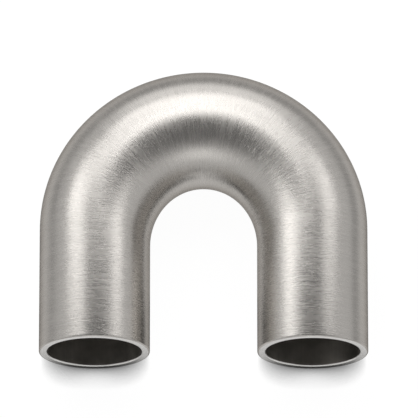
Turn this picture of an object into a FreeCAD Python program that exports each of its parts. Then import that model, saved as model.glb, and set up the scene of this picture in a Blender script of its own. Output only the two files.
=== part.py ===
import FreeCAD, Part

import math
import os

# Return bend: one length of round tube formed through half a turn, with two open legs side by side.
# It lies flat, as it comes to rest. +X runs across the legs, the legs open towards -Y, and +Z is up.
# The origin is the middle of the footprint, on the surface that the part lies on. Lengths are in mm.

# Driving dimensions
OUTSIDE_DIAMETER = 48.3      # the tube, and the height of the part as it lies
WALL = 3.68                  # at the open ends, and along the outside of the bend
LEG_SPACING = 95.0           # between the axes of the legs, twice the bend radius
LEG_LENGTH = 56.0            # straight leg, from the open end to the line through the bend's centre
GATHERED_WALL = 3.3          # what forming adds to the wall at the crown, on the inside of the bend
GATHER_RUNOUT = 7.5          # how far down each leg the gathered wall runs out
OUTER_EDGE_BREAK = 0.6       # bevel on the outer edge of each cut end
BORE_EDGE_BREAK = 0.6        # bevel on the mouth of the bore

# Derived sizes
OUTSIDE_RADIUS = OUTSIDE_DIAMETER / 2
BORE_RADIUS = OUTSIDE_RADIUS - WALL
BEND_RADIUS = LEG_SPACING / 2
THROAT_RADIUS = BEND_RADIUS - OUTSIDE_RADIUS
THROAT_DEPTH = THROAT_RADIUS - GATHERED_WALL + GATHER_RUNOUT
BACK_RADIUS = BEND_RADIUS + OUTSIDE_RADIUS
CUT_OVERRUN = WALL

# The tube is drawn about the bend's centre, with the tube's axis at height nought
CENTRE = FreeCAD.Vector(0, 0, 0)
ACROSS = FreeCAD.Vector(1, 0, 0)
ALONG = FreeCAD.Vector(0, 1, 0)
UP = FreeCAD.Vector(0, 0, 1)
HALF_TURN = 180
RIGHT, LEFT = 1, -1

# Half an ellipse as a spline of two quadratic quarters, whose corner poles weigh the cosine of 45 degrees
ELLIPSE_DEGREE = 2
ELLIPSE_KNOTS = [0, 1, 2]
ELLIPSE_MULTIPLICITIES = [3, 2, 3]
ELLIPSE_WEIGHTS = [1, math.sqrt(0.5), 1, math.sqrt(0.5), 1]


def half_ellipse_poles(centre, start, side):
    """Poles of half an ellipse that runs from centre + start, round by centre + side, to centre - start."""
    return [
        centre + start,
        centre + start + side,
        centre + side,
        centre + side - start,
        centre - start,
    ]


def throat_skin():
    """The outer skin on the inside of the bend, from the top of the tube round to its underside.

    Every section is half an ellipse as high as the tube, which reaches from the tube's axis to the
    throat. The throat is half an ellipse in plan: it starts a little way down the legs, and it falls
    short of a round throat at the crown, where it leaves the gathered wall.
    """
    axis_line = half_ellipse_poles(CENTRE, ACROSS * BEND_RADIUS, ALONG * BEND_RADIUS)
    throat_line = half_ellipse_poles(
        ALONG * -GATHER_RUNOUT, ACROSS * THROAT_RADIUS, ALONG * THROAT_DEPTH
    )
    poles = [
        half_ellipse_poles(on_axis, UP * OUTSIDE_RADIUS, on_throat - on_axis)
        for on_axis, on_throat in zip(axis_line, throat_line)
    ]
    weights = [[one * other for other in ELLIPSE_WEIGHTS] for one in ELLIPSE_WEIGHTS]
    surface = Part.BSplineSurface()
    surface.buildFromPolesMultsKnots(
        poles,
        ELLIPSE_MULTIPLICITIES,
        ELLIPSE_MULTIPLICITIES,
        ELLIPSE_KNOTS,
        ELLIPSE_KNOTS,
        False,
        False,
        ELLIPSE_DEGREE,
        ELLIPSE_DEGREE,
        weights,
    )
    return surface.toShape()


def back_skin():
    """The outer skin on the outside of the bend: the outer half of the tube, turned half a turn."""
    section = Part.Arc(
        FreeCAD.Vector(BEND_RADIUS, 0, OUTSIDE_RADIUS),
        FreeCAD.Vector(BACK_RADIUS, 0, 0),
        FreeCAD.Vector(BEND_RADIUS, 0, -OUTSIDE_RADIUS),
    )
    return section.toShape().revolve(CENTRE, UP, HALF_TURN)


def joint_face(skin, side):
    """The flat face that closes the bend under one of its skins, where the leg on that side joins it."""
    edge = max(skin.Edges, key=lambda candidate: side * candidate.CenterOfMass.x)
    chord = Part.makeLine(edge.lastVertex().Point, edge.firstVertex().Point)
    return Part.Face(Part.Wire([edge, chord]))


def solid_bend():
    """The half turn of the tube, still filled."""
    skins = [throat_skin(), back_skin()]
    joints = [joint_face(skin, side) for skin in skins for side in (RIGHT, LEFT)]
    shell = Part.makeShell(skins + joints)
    shell.sewShape()
    return Part.makeSolid(shell)


def leg_axis_point(side, distance):
    """A point on a leg's axis, that far from the bend towards the open end."""
    return ACROSS * side * BEND_RADIUS - ALONG * distance


def runout_wedge(side):
    """The corner of a leg's cylinder, beside the throat, that the gathered wall takes the place of."""
    corner = ACROSS * side * THROAT_RADIUS
    outline = Part.makePolygon(
        [leg_axis_point(side, 0), corner, corner - ALONG * GATHER_RUNOUT, leg_axis_point(side, 0)]
    )
    wedge = Part.Face(outline).extrude(UP * OUTSIDE_DIAMETER)
    wedge.translate(UP * -OUTSIDE_RADIUS)
    return wedge


def solid_leg(side):
    """A straight leg, still filled, cut back on its inner side to where the gathered wall starts."""
    leg = Part.makeCylinder(OUTSIDE_RADIUS, LEG_LENGTH, leg_axis_point(side, LEG_LENGTH), ALONG)
    return leg.cut(runout_wedge(side))


def passage():
    """The passage along both legs and the bend: a disc of the bore's size swept along the tube's axis."""
    first_mouth = leg_axis_point(RIGHT, LEG_LENGTH + CUT_OVERRUN)
    last_mouth = leg_axis_point(LEFT, LEG_LENGTH + CUT_OVERRUN)
    turn = Part.Arc(leg_axis_point(RIGHT, 0), ALONG * BEND_RADIUS, leg_axis_point(LEFT, 0))
    route = Part.Wire([
        Part.makeLine(first_mouth, leg_axis_point(RIGHT, 0)),
        turn.toShape(),
        Part.makeLine(leg_axis_point(LEFT, 0), last_mouth),
    ])
    mouth = Part.Face(Part.Wire(Part.makeCircle(BORE_RADIUS, first_mouth, ALONG)))
    return route.makePipe(mouth)


def open_end_edges(tube, radius):
    """The circles of that radius on the two open ends."""
    circles = [edge for edge in tube.Edges if edge.Closed and isinstance(edge.Curve, Part.Circle)]
    return [
        edge
        for edge in circles
        if math.isclose(edge.Curve.Radius, radius) and math.isclose(edge.Curve.Center.y, -LEG_LENGTH)
    ]


def return_bend():
    """The whole fitting, lying flat with the middle of its footprint at the origin."""
    filled = solid_bend().fuse([solid_leg(RIGHT), solid_leg(LEFT)]).removeSplitter()
    tube = filled.cut(passage())
    tube = tube.makeChamfer(OUTER_EDGE_BREAK, open_end_edges(tube, OUTSIDE_RADIUS))
    tube = tube.makeChamfer(BORE_EDGE_BREAK, open_end_edges(tube, BORE_RADIUS))
    tube.translate(ALONG * (LEG_LENGTH - BACK_RADIUS) / 2 + UP * OUTSIDE_RADIUS)
    return tube


os.makedirs("parts", exist_ok=True)
return_bend().exportStep("parts/return_bend.step")
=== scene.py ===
"""A return bend in brushed stainless steel, lying on the pale floor of a small studio.

Lengths are in metres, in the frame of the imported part: +X across the legs, the legs open towards -Y, +Z up.
"""

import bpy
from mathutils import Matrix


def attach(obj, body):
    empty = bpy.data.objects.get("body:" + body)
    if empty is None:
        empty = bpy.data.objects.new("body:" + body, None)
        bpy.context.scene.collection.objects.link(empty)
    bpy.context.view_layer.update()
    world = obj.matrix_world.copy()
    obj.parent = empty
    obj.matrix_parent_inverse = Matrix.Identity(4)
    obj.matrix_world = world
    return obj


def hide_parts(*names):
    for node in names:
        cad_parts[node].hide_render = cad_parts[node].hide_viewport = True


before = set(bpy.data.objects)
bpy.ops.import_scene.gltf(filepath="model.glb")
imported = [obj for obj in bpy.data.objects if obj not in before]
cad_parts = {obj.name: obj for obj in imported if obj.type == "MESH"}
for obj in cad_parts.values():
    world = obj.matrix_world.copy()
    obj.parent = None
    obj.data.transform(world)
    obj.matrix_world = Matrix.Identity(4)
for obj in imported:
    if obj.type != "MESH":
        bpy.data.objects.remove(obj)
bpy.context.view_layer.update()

import logging
import math
from dataclasses import dataclass, field
from enum import Enum, IntEnum
from typing import Any, Union

import bmesh
import bpy
from mathutils import Matrix, Vector

log = logging.getLogger("return_bend")

# The attribute of the tube's mesh that keeps where each point would lie if the tube were straight
UNROLLED = "unrolled"

# Points that lie closer than this are the same point
HAIR = 5e-6


class Surface(IntEnum):
    """The three surfaces of the tube, in the order of the piece's material slots."""

    SKIN = 0
    CUT_END = 1
    BORE = 2


class Side(Enum):
    """The two legs, by the sign of their X."""

    RIGHT = 1
    LEFT = -1


Colour = tuple[float, float, float]
Operand = Union["Signal", float, int, tuple]


class Signal:
    """One output of a shader node, with arithmetic that adds the nodes it needs."""

    def __init__(self, sheet: "NodeSheet", socket: bpy.types.NodeSocket) -> None:
        """Wraps a socket.

        Args:
            sheet: the node sheet that the socket is on.
            socket: the output that is wrapped.
        """
        self.sheet = sheet
        self.socket = socket


class Number(Signal):
    """A signal of one number at each point, worked on by Math nodes."""

    def _math(self, operation: str, *values: Operand) -> "Number":
        """A Math node on these values, in this order."""
        return self.sheet.number("ShaderNodeMath", {"operation": operation}, dict(enumerate(values)))

    def __add__(self, other: Operand) -> "Number":
        """self + other."""
        return self._math("ADD", self, other)

    def __radd__(self, other: Operand) -> "Number":
        """other + self."""
        return self._math("ADD", other, self)

    def __sub__(self, other: Operand) -> "Number":
        """self - other."""
        return self._math("SUBTRACT", self, other)

    def __rsub__(self, other: Operand) -> "Number":
        """other - self."""
        return self._math("SUBTRACT", other, self)

    def __mul__(self, other: Operand) -> "Number":
        """self * other."""
        return self._math("MULTIPLY", self, other)

    def __rmul__(self, other: Operand) -> "Number":
        """other * self."""
        return self._math("MULTIPLY", other, self)

    def __truediv__(self, other: Operand) -> "Number":
        """self / other."""
        return self._math("DIVIDE", self, other)

    def __rtruediv__(self, other: Operand) -> "Number":
        """other / self."""
        return self._math("DIVIDE", other, self)

    def __pow__(self, other: Operand) -> "Number":
        """self raised to other."""
        return self._math("POWER", self, other)

    def __rpow__(self, other: Operand) -> "Number":
        """other raised to self."""
        return self._math("POWER", other, self)

    def at_least(self, floor: Operand) -> "Number":
        """The larger of self and floor."""
        return self._math("MAXIMUM", self, floor)

    def ramp(self, low: float, high: float) -> "Number":
        """A smooth rise.

        Args:
            low: where it is still nought.
            high: where it has reached one.

        Returns:
            Nought below low, one above high, and a smooth rise between them.
        """
        return self.sheet.number(
            "ShaderNodeMapRange",
            {"interpolation_type": "SMOOTHSTEP"},
            {"Value": self, "From Min": low, "From Max": high},
        )


class Field(Signal):
    """A signal of three numbers at each point, worked on by Vector Math nodes."""

    def _math(self, operation: str, *values: Operand) -> "Field":
        """A Vector Math node on these values, in this order."""
        return self.sheet.field("ShaderNodeVectorMath", {"operation": operation}, dict(enumerate(values)))

    def __add__(self, other: Operand) -> "Field":
        """self + other."""
        return self._math("ADD", self, other)

    def __radd__(self, other: Operand) -> "Field":
        """other + self."""
        return self._math("ADD", other, self)

    def __mul__(self, other: Operand) -> "Field":
        """self * other, axis by axis."""
        return self._math("MULTIPLY", self, other)

    def __rmul__(self, other: Operand) -> "Field":
        """other * self, axis by axis."""
        return self._math("MULTIPLY", other, self)

    def length(self) -> Number:
        """How long it is."""
        node = self.sheet.add("ShaderNodeVectorMath", {"operation": "LENGTH"}, {0: self})
        return Number(self.sheet, node.outputs["Value"])

    def parts(self) -> tuple[Number, Number, Number]:
        """Takes it apart.

        Returns:
            The three numbers.
        """
        split = self.sheet.add("ShaderNodeSeparateXYZ", {}, {0: self})
        x, y, z = (Number(self.sheet, split.outputs[axis]) for axis in "XYZ")
        return x, y, z


class NodeSheet:
    """The node tree of one material or world."""

    def __init__(self, tree: bpy.types.NodeTree) -> None:
        """Starts with an empty tree.

        Args:
            tree: the tree that nodes are added to.
        """
        self.tree = tree
        tree.nodes.clear()

    def add(self, kind: str, settings: dict[str, Any], inputs: dict[Any, Operand]) -> bpy.types.Node:
        """Adds a node.

        Args:
            kind: the node's type.
            settings: its properties, set first.
            inputs: values or signals by the name or number of the socket.

        Returns:
            The new node.
        """
        node = self.tree.nodes.new(kind)
        for name, value in settings.items():
            setattr(node, name, value)
        for key, value in inputs.items():
            if isinstance(value, Signal):
                self.tree.links.new(value.socket, node.inputs[key])
            else:
                node.inputs[key].default_value = value
        return node

    def number(self, kind: str, settings: dict[str, Any], inputs: dict[Any, Operand]) -> Number:
        """Adds a node and wraps its first output as a number."""
        return Number(self, self.add(kind, settings, inputs).outputs[0])

    def field(self, kind: str, settings: dict[str, Any], inputs: dict[Any, Operand]) -> Field:
        """Adds a node and wraps its first output as a field."""
        return Field(self, self.add(kind, settings, inputs).outputs[0])

    def unrolled(self) -> Field:
        """The point on the tube laid out straight: how far along it, then the two offsets from its axis."""
        node = self.add("ShaderNodeAttribute", {"attribute_name": UNROLLED}, {})
        return Field(self, node.outputs["Vector"])

    def noise(self, place: Field, detail: float, rough: float) -> Number:
        """Noise about a half.

        Args:
            place: where it is read, with one unit to a grain.
            detail: how many finer layers it has.
            rough: how strong each finer layer is beside the one before.

        Returns:
            The noise.
        """
        return self.number(
            "ShaderNodeTexNoise", {}, {"Vector": place, "Scale": 1.0, "Detail": detail, "Roughness": rough}
        )

    def triple(self, x: Operand, y: Operand, z: Operand) -> Field:
        """A field from three numbers."""
        return self.field("ShaderNodeCombineXYZ", {}, {0: x, 1: y, 2: z})

    def tint(self, colour: Colour, shade: Number) -> Field:
        """A colour made lighter or darker by a number, and kept in hue."""
        return self.field("ShaderNodeVectorMath", {"operation": "SCALE"}, {0: colour, "Scale": shade})

    def bump(self, height: Number, depth: float, under: Field | None = None) -> Field:
        """The normal of a surface with a height pattern.

        Args:
            height: the pattern.
            depth: how high one is, in metres.
            under: the normal of another pattern that this one is laid on.

        Returns:
            The normal of both together.
        """
        below = {} if under is None else {"Normal": under}
        return self.field("ShaderNodeBump", {}, {"Height": height, "Distance": depth, **below})


class Finish:
    """What a surface is dressed in. Each finish says what its shader is given."""

    def material(self, name: str) -> bpy.types.Material:
        """Makes the finish a material.

        Args:
            name: the material's name.

        Returns:
            The material.
        """
        material = bpy.data.materials.new(name)
        material.use_nodes = True
        sheet = NodeSheet(material.node_tree)
        shader = sheet.add("ShaderNodeBsdfPrincipled", {}, self.shader_inputs(sheet))
        sheet.add("ShaderNodeOutputMaterial", {}, {"Surface": Signal(sheet, shader.outputs[0])})
        return material

    def shader_inputs(self, sheet: NodeSheet) -> dict[str, Operand]:
        """The values and signals of the shader's sockets."""
        raise NotImplementedError


@dataclass(frozen=True)
class BrushedSkin(Finish):
    """The outside of the tube: satin steel with short strokes that run round it.

    Widths are measured along the tube and lengths round it. The fine scratches are too thin to be seen
    one by one, and smear what the steel mirrors across them. The strokes and the nicks are what shows.
    """

    colour: Colour = (0.615, 0.589, 0.558)
    edge_tint: Colour = (0.42, 0.40, 0.38)
    roughness: float = 0.27
    scratch_width: float = 0.00014
    scratch_length: float = 0.0065
    scratch_depth: float = 0.000043
    stroke_width: float = 0.0009
    stroke_length: float = 0.014
    stroke_depth: float = 0.000022
    nick_width: float = 0.00063
    nick_length: float = 0.0042
    nick_strength: float = 0.6
    nick_height: float = 0.4
    sway: float = 0.0008
    sways_along: float = 130.0
    sways_round: float = 260.0
    clouds_per_metre: float = 110.0
    tone: float = 0.99
    tone_of_grain: float = 0.2
    tone_of_clouds: float = 0.08
    roughness_of_grain: float = 0.1
    roughness_of_clouds: float = 0.06

    def shader_inputs(self, sheet: NodeSheet) -> dict[str, Operand]:
        """The steel's colour, gloss and marks.

        Args:
            sheet: the sheet that the marks are drawn on.

        Returns:
            The values and signals of the shader's sockets.
        """
        place = sheet.unrolled()
        swayed = place + sheet.triple(self._sway(sheet, place), 0.0, 0.0)
        scratches = self._marks(sheet, swayed, self.scratch_width, self.scratch_length, 2.0, 0.6)
        strokes = self._marks(sheet, swayed, self.stroke_width, self.stroke_length, 2.0, 0.55)
        nicks = self._marks(sheet, swayed, self.nick_width, self.nick_length, 1.0, 0.5)
        cloud = self.clouds_per_metre
        clouds = sheet.noise(place * (cloud, cloud, cloud), 2.0, 0.5) - 0.5
        grain = (strokes - 0.5) + (nicks - 0.5) * self.nick_strength
        smear = sheet.bump(scratches, self.scratch_depth)
        return {
            "Base Color": sheet.tint(
                self.colour, self.tone + grain * self.tone_of_grain + clouds * self.tone_of_clouds
            ),
            "Metallic": 1.0,
            "Roughness": self.roughness + grain * self.roughness_of_grain + clouds * self.roughness_of_clouds,
            "Specular Tint": (*self.edge_tint, 1.0),
            "Normal": sheet.bump(strokes + nicks * self.nick_height, self.stroke_depth, smear),
        }

    def _sway(self, sheet: NodeSheet, place: Field) -> Number:
        """How far the strokes wander along the tube, so that they don't run dead straight round it."""
        drift = sheet.noise(place * (self.sways_along, self.sways_round, self.sways_round), 1.0, 0.5)
        return (drift - 0.5) * self.sway

    @staticmethod
    def _marks(
        sheet: NodeSheet, place: Field, width: float, length: float, detail: float, rough: float
    ) -> Number:
        """Noise drawn out round the tube.

        Args:
            sheet: the sheet that it is drawn on.
            place: where it is read, on the unrolled tube.
            width: how wide a grain is, along the tube.
            length: how long a grain is, round the tube.
            detail: how many finer layers it has.
            rough: how strong each finer layer is beside the one before.

        Returns:
            The noise, about a half.
        """
        return sheet.noise(place * (1 / width, 1 / length, 1 / length), detail, rough)


@dataclass(frozen=True)
class SawnEnd(Finish):
    """The square-cut end of the tube and the break on its bore: fine turning marks about the bore."""

    colour: Colour = (0.82, 0.805, 0.78)
    roughness: float = 0.2
    mark_pitch: float = 0.00012
    mark_depth: float = 0.000004
    drifts_per_metre: float = 60.0
    tone: float = 0.95
    tone_of_marks: float = 0.1
    roughness_of_marks: float = 0.1

    def shader_inputs(self, sheet: NodeSheet) -> dict[str, Operand]:
        """The steel's colour, gloss and marks.

        Args:
            sheet: the sheet that the marks are drawn on.

        Returns:
            The values and signals of the shader's sockets.
        """
        on_face = sheet.unrolled() * (0.0, 1.0, 1.0)
        _, outward, upward = on_face.parts()
        turn = on_face.length() / self.mark_pitch
        place = sheet.triple(turn, outward * self.drifts_per_metre, upward * self.drifts_per_metre)
        marks = sheet.noise(place, 2.0, 0.5)
        return {
            "Base Color": sheet.tint(self.colour, self.tone + marks * self.tone_of_marks),
            "Metallic": 1.0,
            "Roughness": self.roughness + (marks - 0.5) * self.roughness_of_marks,
            "Normal": sheet.bump(marks, self.mark_depth),
        }


@dataclass(frozen=True)
class MillBore(Finish):
    """The inside of the tube: duller, stained steel with faint lines drawn along it."""

    colour: Colour = (0.46, 0.44, 0.41)
    roughness: float = 0.38
    line_width: float = 0.0006
    line_length: float = 0.03
    line_depth: float = 0.00002
    stains_per_metre: float = 70.0
    tone: float = 0.3
    tone_of_lines: float = 0.2
    tone_of_stains: float = 1.3
    roughness_of_stains: float = 0.2

    def shader_inputs(self, sheet: NodeSheet) -> dict[str, Operand]:
        """The steel's colour, gloss and marks.

        Args:
            sheet: the sheet that the marks are drawn on.

        Returns:
            The values and signals of the shader's sockets.
        """
        place = sheet.unrolled()
        drawn = (1 / self.line_length, 1 / self.line_width, 1 / self.line_width)
        lines = sheet.noise(place * drawn, 2.0, 0.5)
        stain = self.stains_per_metre
        stains = sheet.noise(place * (stain, stain, stain), 3.0, 0.6)
        tone = self.tone + lines * self.tone_of_lines + stains * self.tone_of_stains
        return {
            "Base Color": sheet.tint(self.colour, tone),
            "Metallic": 1.0,
            "Roughness": self.roughness + (stains - 0.5) * self.roughness_of_stains,
            "Normal": sheet.bump(lines, self.line_depth),
        }


@dataclass
class ReturnBendTube:
    """The fitting: one tube formed through half a turn, with two open legs side by side.

    The gathered throat starts one run-out down each leg. The rows of faces that it shifts come back into
    line a few run-outs down, and the faces beside each edge break are a little wider than the break.
    """

    outside_diameter: float = 0.0483
    wall: float = 0.00368
    leg_spacing: float = 0.095
    leg_length: float = 0.056
    gathered_wall: float = 0.0033
    gather_runout: float = 0.0075
    runouts_to_fade: float = 4.0
    edge_break: float = 0.0006
    breaks_to_guard: float = 1.5
    steps_round: int = 128
    steps_along_leg: int = 20
    steps_along_bend: int = 120
    steps_over_edge: int = 4
    skin: BrushedSkin = field(default_factory=BrushedSkin)
    cut_end: SawnEnd = field(default_factory=SawnEnd)
    bore: MillBore = field(default_factory=MillBore)

    def __post_init__(self) -> None:
        """Works out the sizes that follow from the others."""
        self.outside_radius = self.outside_diameter / 2
        self.bore_radius = self.outside_radius - self.wall
        self.middle_radius = (self.outside_radius + self.bore_radius) / 2
        self.bend_radius = self.leg_spacing / 2
        self.throat_radius = self.bend_radius - self.outside_radius
        self.throat_depth = self.throat_radius - self.gathered_wall + self.gather_runout
        self.gather_fade = self.runouts_to_fade * self.gather_runout
        self.edge_guard = self.breaks_to_guard * self.edge_break
        self.bend_line = (self.leg_length - self.bend_radius - self.outside_radius) / 2
        self.mouth = self.bend_line - self.leg_length
        self.centre = Vector((0.0, self.bend_line, self.outside_radius))

    def build(self) -> bpy.types.Object:
        """Builds the tube, dresses it and puts it on its body.

        Returns:
            The piece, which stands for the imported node.
        """
        mesh = bmesh.new()
        self._sweep_walls(mesh)
        self._gather_throat(mesh)
        self._close_mouths(mesh)
        self._break_edges(mesh)
        self._sort_faces(mesh)
        data = bpy.data.meshes.new("return_bend_tube")
        mesh.to_mesh(data)
        mesh.free()
        self._keep_unrolled_place(data)
        data.materials.append(self.skin.material("brushed_skin"))
        data.materials.append(self.cut_end.material("sawn_end"))
        data.materials.append(self.bore.material("mill_bore"))
        piece = bpy.data.objects.new("return_bend_tube", data)
        bpy.context.scene.collection.objects.link(piece)
        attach(piece, "root")
        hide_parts("return_bend")
        log.info("%s: %d faces", piece.name, len(data.polygons))
        return piece

    def _sweep_walls(self, mesh: bmesh.types.BMesh) -> None:
        """Sweeps the skin and the bore up the right leg, round the bend and down the left leg.

        Args:
            mesh: the mesh that they are made in.
        """
        at_mouth = Matrix.Translation((self.bend_radius, self.mouth, self.outside_radius))
        upright = Matrix.Rotation(math.radians(90), 4, "X")
        for radius in (self.outside_radius, self.bore_radius):
            bmesh.ops.create_circle(
                mesh, cap_ends=False, radius=radius, segments=self.steps_round, matrix=at_mouth @ upright
            )
        leg_step = Vector((0.0, self.leg_length / self.steps_along_leg, 0.0))
        rings = self._spin(mesh, mesh.edges[:], leg_step, 0.0, self.steps_along_leg)
        rings = self._spin(mesh, rings, Vector(), math.pi, self.steps_along_bend)
        self._spin(mesh, rings, -leg_step, 0.0, self.steps_along_leg)

    def _spin(
        self,
        mesh: bmesh.types.BMesh,
        rings: list[bmesh.types.BMEdge],
        step: Vector,
        angle: float,
        steps: int,
    ) -> list[bmesh.types.BMEdge]:
        """Carries rings of edges along, turning about the bend's centre, with a row of faces at each step.

        Args:
            mesh: the mesh that it is made in.
            rings: the edges to carry.
            step: how far each step moves.
            angle: how far all the steps turn.
            steps: how many there are.

        Returns:
            The last rings of edges.
        """
        made = bmesh.ops.spin(
            mesh, geom=rings, cent=self.centre, axis=(0, 0, 1), dvec=step, angle=angle, steps=steps
        )
        return [item for item in made["geom_last"] if isinstance(item, bmesh.types.BMEdge)]

    def _gather_throat(self, mesh: bmesh.types.BMesh) -> None:
        """Draws the inner half of the skin out to the thicker throat, which runs out down the legs.

        A point's share is nought over the tube's axis and one at the throat. Round the bend, each share
        has an ellipse of its own in plan, between the circle of the axis and the ellipse of the throat.
        On the legs the points only slide along them, so that the rows of faces meet the bend's.

        Args:
            mesh: the mesh that the skin is in.
        """
        for vert in filter(self._is_outside, mesh.verts):
            x, y = vert.co.x, vert.co.y - self.bend_line
            if y >= -HAIR:
                turn = math.atan2(y, x)
                share = (self.bend_radius - math.hypot(x, y)) / self.outside_radius
                if share > 0:
                    across = self.bend_radius * (1 - share) + self.throat_radius * share
                    along = self.bend_radius * (1 - share) + self.throat_depth * share
                    vert.co.x = across * math.cos(turn)
                    vert.co.y = self.bend_line + along * math.sin(turn) - self.gather_runout * share
            else:
                share = (self.bend_radius - abs(x)) / self.outside_radius
                vert.co.y -= self.gather_runout * max(share, 0.0) * max(1 + y / self.gather_fade, 0.0)

    def _close_mouths(self, mesh: bmesh.types.BMesh) -> None:
        """Puts the flat ring of cut metal between the skin and the bore at each mouth.

        Args:
            mesh: the mesh that both walls are in.
        """
        shrink = self.bore_radius / self.outside_radius
        rims = [edge for edge in mesh.edges if edge.is_boundary and self._is_outside(edge.verts[0])]
        made = bmesh.ops.extrude_edge_only(mesh, edges=rims)
        inner = [item for item in made["geom"] if isinstance(item, bmesh.types.BMVert)]
        for side in Side:
            axis = Vector((side.value * self.bend_radius, 0.0, self.outside_radius))
            bmesh.ops.scale(
                mesh,
                vec=(shrink, 1.0, shrink),
                space=Matrix.Translation(-axis),
                verts=[vert for vert in inner if vert.co.x * side.value > 0],
            )
        bmesh.ops.remove_doubles(mesh, verts=mesh.verts, dist=HAIR)
        bmesh.ops.recalc_face_normals(mesh, faces=mesh.faces)

    def _break_edges(self, mesh: bmesh.types.BMesh) -> None:
        """Rounds the edges of both mouths, with a short row of faces kept beside each rounding.

        Args:
            mesh: the closed mesh of the tube.
        """
        rings = [face for face in mesh.faces if self._depth(face.calc_center_median()) < HAIR]
        bmesh.ops.bisect_plane(
            mesh,
            geom=mesh.verts[:] + mesh.edges[:] + mesh.faces[:],
            plane_co=(0.0, self.mouth + self.edge_guard, 0.0),
            plane_no=(0.0, 1.0, 0.0),
        )
        bmesh.ops.inset_region(mesh, faces=rings, thickness=self.edge_guard, use_even_offset=True)
        corners = [
            edge
            for edge in mesh.edges
            if all(self._depth(vert.co) < HAIR for vert in edge.verts)
            and any(self._depth(face.calc_center_median()) > HAIR for face in edge.link_faces)
        ]
        bmesh.ops.bevel(
            mesh,
            geom=corners,
            offset=self.edge_break,
            offset_type="OFFSET",
            affect="EDGES",
            segments=self.steps_over_edge,
            profile=0.5,
            material=-1,
        )

    def _sort_faces(self, mesh: bmesh.types.BMesh) -> None:
        """Gives each face the slot of its surface, and smooth shading.

        The brushing runs on over the outer edge break, and the turning marks over the bore's.

        Args:
            mesh: the finished mesh of the tube.
        """
        for face in mesh.faces:
            centre = face.calc_center_median()
            face.smooth = True
            radius = self._unroll(centre).yz.length
            if self._depth(centre) < self.edge_break and radius < self.outside_radius - self.edge_break:
                face.material_index = Surface.CUT_END
            elif radius < self.middle_radius:
                face.material_index = Surface.BORE
            else:
                face.material_index = Surface.SKIN

    def _keep_unrolled_place(self, data: bpy.types.Mesh) -> None:
        """Keeps each point's place on the straight tube, for the patterns that follow the tube.

        Args:
            data: the mesh that gets the attribute.
        """
        kept = data.attributes.new(UNROLLED, "FLOAT_VECTOR", "POINT")
        for vert in data.vertices:
            kept.data[vert.index].vector = self._unroll(vert.co)

    def _is_outside(self, vert: bmesh.types.BMVert) -> bool:
        """Whether a point is on the skin and not on the bore."""
        return self._unroll(vert.co).yz.length > self.middle_radius

    def _depth(self, place: Vector) -> float:
        """How far a point lies behind the plane of the two mouths."""
        return place.y - self.mouth

    def _unroll(self, place: Vector) -> Vector:
        """Lays the tube out straight.

        Args:
            place: a point on the tube.

        Returns:
            How far along the tube's axis from the right mouth the point is, how far out of the bend
            from that axis, and how far up from it.
        """
        x, y = place.x, place.y - self.bend_line
        up = place.z - self.outside_radius
        if y < 0:
            quarter = math.pi * self.bend_radius / 2
            side = Side.RIGHT if x > 0 else Side.LEFT
            along = self.leg_length + quarter - side.value * (quarter - y)
            return Vector((along, abs(x) - self.bend_radius, up))
        along = self.leg_length + self.bend_radius * math.atan2(y, x)
        return Vector((along, math.hypot(x, y) - self.bend_radius, up))


@dataclass(frozen=True)
class SoftBox:
    """A soft studio lamp: an even, rectangular source that faces the part.

    Azimuth 0 is on the camera's side of the part and 90 is to its right, in degrees; elevation is above
    the floor; brightness is what the lamp's face shows, where one is white.
    """

    name: str
    azimuth: float
    elevation: float
    distance: float
    width: float
    height: float
    brightness: float

    def place(self, aim: Vector) -> bpy.types.Object:
        """Hangs the lamp.

        Args:
            aim: the point that it faces.

        Returns:
            The lamp.
        """
        data = bpy.data.lights.new(self.name, "AREA")
        data.shape = "RECTANGLE"
        data.size, data.size_y = self.width, self.height
        data.energy = self.brightness * math.pi * self.width * self.height
        lamp = bpy.data.objects.new(self.name, data)
        bpy.context.scene.collection.objects.link(lamp)
        a, e = math.radians(self.azimuth), math.radians(self.elevation)
        away = Vector((math.sin(a) * math.cos(e), -math.cos(a) * math.cos(e), math.sin(e)))
        lamp.location = aim + away * self.distance
        lamp.rotation_euler = away.to_track_quat("Z", "Y").to_euler()
        lamp.visible_camera = False
        return lamp


@dataclass(frozen=True)
class ViewingPlace:
    """The camera: a long lens, high in front of the open ends.

    It looks at a point on the part's middle plane, and slides across its view to frame the part.
    """

    elevation: float = 71.5
    distance: float = 3.015
    lens_mm: float = 594.0
    sensor_mm: float = 36.0
    nearest: float = 0.05
    farthest: float = 30.0
    aim: tuple[float, float, float] = (0.0, -0.01363, 0.02415)
    slide_right: float = 0.002362
    slide_up: float = 0.014754

    def place(self) -> bpy.types.Object:
        """Sets the camera up and makes it the scene's own.

        Returns:
            The camera.
        """
        e = math.radians(self.elevation)
        back = Vector((0.0, -math.cos(e), math.sin(e)))
        up = Vector((0.0, math.sin(e), math.cos(e)))
        right = Vector((1.0, 0.0, 0.0))
        data = bpy.data.cameras.new("camera")
        data.lens = self.lens_mm
        data.sensor_width = self.sensor_mm
        data.clip_start, data.clip_end = self.nearest, self.farthest
        camera = bpy.data.objects.new("camera", data)
        bpy.context.scene.collection.objects.link(camera)
        framed = Vector(self.aim) + right * self.slide_right + up * self.slide_up
        camera.location = framed + back * self.distance
        camera.rotation_mode = "QUATERNION"
        camera.rotation_quaternion = (-back).to_track_quat("-Z", "Y")
        bpy.context.scene.camera = camera
        return camera


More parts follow.
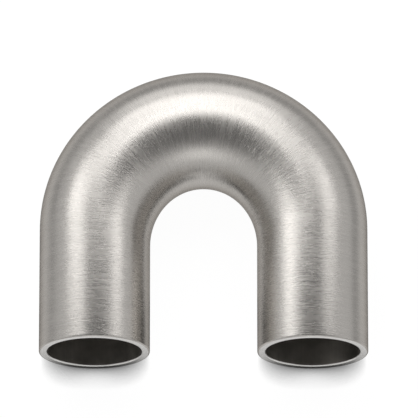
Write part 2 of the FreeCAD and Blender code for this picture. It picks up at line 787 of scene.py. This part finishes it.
@dataclass(frozen=True)
class PaleFloor(Finish):
    """The studio's floor: matt, and lifted towards white where the camera or the metal sees it.

    The metal sees a painted pool of light in the lift: brighter near the part and dimmer far off. The lift
    fades close to whatever stands on the floor, which paints a contact shadow into it, but not inside the
    throat. The metal also sees a wider, softer painted dusk round that shadow.
    """

    colour: Colour = (0.12, 0.12, 0.12)
    white: Colour = (1.0, 1.0, 1.0)
    lift: float = 0.95
    lift_in_metal: float = 0.71
    far_lift_in_metal: float = 0.31
    pool_edge: float = 0.11
    pool_fade: float = 0.1
    clear_radius: float = 0.027
    clear_fade: float = 0.008
    clear_middle: float = -0.0078
    shadow_reach: float = 0.0098
    shadow_depth: float = 2.2
    shadow_depth_in_metal: float = 9.0
    dusk_reach: float = 0.022
    dusk_depth_in_metal: float = 4.0
    shadow_rays: int = 8
    half_size: float = 6.0
    drop: float = 0.00002

    def build(self) -> bpy.types.Object:
        """Lays the floor under the part, a hair below it.

        Returns:
            The floor, which is no piece of the part.
        """
        mesh = bmesh.new()
        bmesh.ops.create_grid(mesh, x_segments=2, y_segments=2, size=self.half_size)
        bmesh.ops.translate(mesh, verts=mesh.verts, vec=(0.0, 0.0, -self.drop))
        data = bpy.data.meshes.new("studio_floor")
        mesh.to_mesh(data)
        mesh.free()
        data.materials.append(self.material("pale_floor"))
        floor = bpy.data.objects.new("studio_floor", data)
        bpy.context.scene.collection.objects.link(floor)
        log.info("%s: %.0f m across", floor.name, 2 * self.half_size)
        return floor

    def shader_inputs(self, sheet: NodeSheet) -> dict[str, Operand]:
        """The floor's colour and lift, with its painted pool of light and painted contact shadow.

        Args:
            sheet: the sheet that the lift is worked out on.

        Returns:
            The values and signals of the shader's sockets.
        """
        path = sheet.add("ShaderNodeLightPath", {}, {})
        seen = Number(sheet, path.outputs["Is Camera Ray"])
        through = Number(sheet, path.outputs["Is Transmission Ray"])
        mirrored = Number(sheet, path.outputs["Is Glossy Ray"]).at_least(through)
        place = Field(sheet, sheet.add("ShaderNodeTexCoord", {}, {}).outputs["Object"])
        beyond = place.length().ramp(self.pool_edge, self.pool_edge + self.pool_fade)
        from_throat = (place + (0.0, -self.clear_middle, 0.0)).length()
        clear = 1 - from_throat.ramp(self.clear_radius, self.clear_radius + self.clear_fade)
        openness = self._openness(sheet, self.shadow_reach).at_least(clear)
        dusk = self._openness(sheet, self.dusk_reach).at_least(clear) ** self.dusk_depth_in_metal
        # Painted pool of light: the metal sees the floor's glow brighter near the part than far off
        painted_pool_in_metal = self.lift_in_metal + beyond * (self.far_lift_in_metal - self.lift_in_metal)
        # Painted contact shadow: the glow fades where the floor is sheltered, for the camera and, deeper, for
        # the metal
        lift = seen * self.lift * openness ** self.shadow_depth
        lift_in_metal = mirrored * painted_pool_in_metal * openness ** self.shadow_depth_in_metal * dusk
        return {
            "Base Color": (*self.colour, 1.0),
            "Roughness": 1.0,
            "Specular IOR Level": 0.0,
            "Emission Color": sheet.tint(self.white, lift + lift_in_metal),
            "Emission Strength": 1.0,
        }

    def _openness(self, sheet: NodeSheet, reach: float) -> Number:
        """How much of the sky the floor sees, where only what is nearer than reach hides it."""
        shelter = sheet.add("ShaderNodeAmbientOcclusion", {"samples": self.shadow_rays}, {"Distance": reach})
        return Number(sheet, shelter.outputs["AO"])


@dataclass(frozen=True)
class RoomFill:
    """The walls and the ceiling: an even pale light from the sides, and less from overhead.

    The walls reach up to wall_top and the ceiling starts at ceiling_edge, both in degrees above the
    floor. The camera sees them as white as the floor, so that no horizon shows.
    """

    wall: float = 0.6
    ceiling: float = 0.15
    wall_top: float = 35.0
    ceiling_edge: float = 62.0

    def build(self) -> None:
        """Makes the room the scene's world."""
        world = bpy.data.worlds.new("room_fill")
        world.use_nodes = True
        sheet = NodeSheet(world.node_tree)
        outlook = sheet.add("ShaderNodeTexCoord", {}, {})
        _, _, height = Field(sheet, outlook.outputs["Generated"]).parts()
        low = math.sin(math.radians(self.wall_top))
        high = math.sin(math.radians(self.ceiling_edge))
        overhead = height.ramp(low, high)
        seen = Number(sheet, sheet.add("ShaderNodeLightPath", {}, {}).outputs["Is Camera Ray"])
        strength = (self.wall + overhead * (self.ceiling - self.wall)).at_least(seen)
        glow = sheet.add("ShaderNodeBackground", {}, {"Color": (1.0, 1.0, 1.0, 1.0), "Strength": strength})
        sheet.add("ShaderNodeOutputWorld", {}, {"Surface": Signal(sheet, glow.outputs[0])})
        bpy.context.scene.world = world


@dataclass(frozen=True)
class Studio:
    """The room: the floor, the fill from its walls and ceiling, and the soft boxes about the part.

    Each box's numbers are its azimuth, elevation, distance, width, height and brightness.
    """

    aim: tuple[float, float, float] = (0.0, 0.0, 0.024)
    floor: PaleFloor = field(default_factory=PaleFloor)
    fill: RoomFill = field(default_factory=RoomFill)
    boxes: tuple[SoftBox, ...] = (
        SoftBox("back_left_box", -160.0, 50.0, 0.22, 0.11, 0.17, 1.2),
        SoftBox("back_right_box", 167.0, 49.5, 0.22, 0.11, 0.17, 1.2),
        SoftBox("low_back_box", 180.0, 16.0, 0.5, 0.5, 0.16, 0.5),
        SoftBox("left_box", -116.0, 45.5, 0.32, 0.145, 0.19, 1.45),
        SoftBox("right_box", 120.0, 47.0, 0.32, 0.145, 0.15, 1.12),
        SoftBox("front_box", 0.0, 36.0, 0.45, 0.32, 0.16, 0.5),
    )

    def build(self) -> None:
        """Builds the room around the part."""
        self.floor.build()
        self.fill.build()
        for box in self.boxes:
            box.place(Vector(self.aim))
            log.info("%s: brightness %.2f", box.name, box.brightness)


def main() -> None:
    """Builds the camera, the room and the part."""
    logging.basicConfig(level=logging.INFO, format="%(message)s")
    bpy.context.scene.view_settings.view_transform = "Standard"
    ViewingPlace().place()
    Studio().build()
    ReturnBendTube().build()


if __name__ == "__main__":
    main()
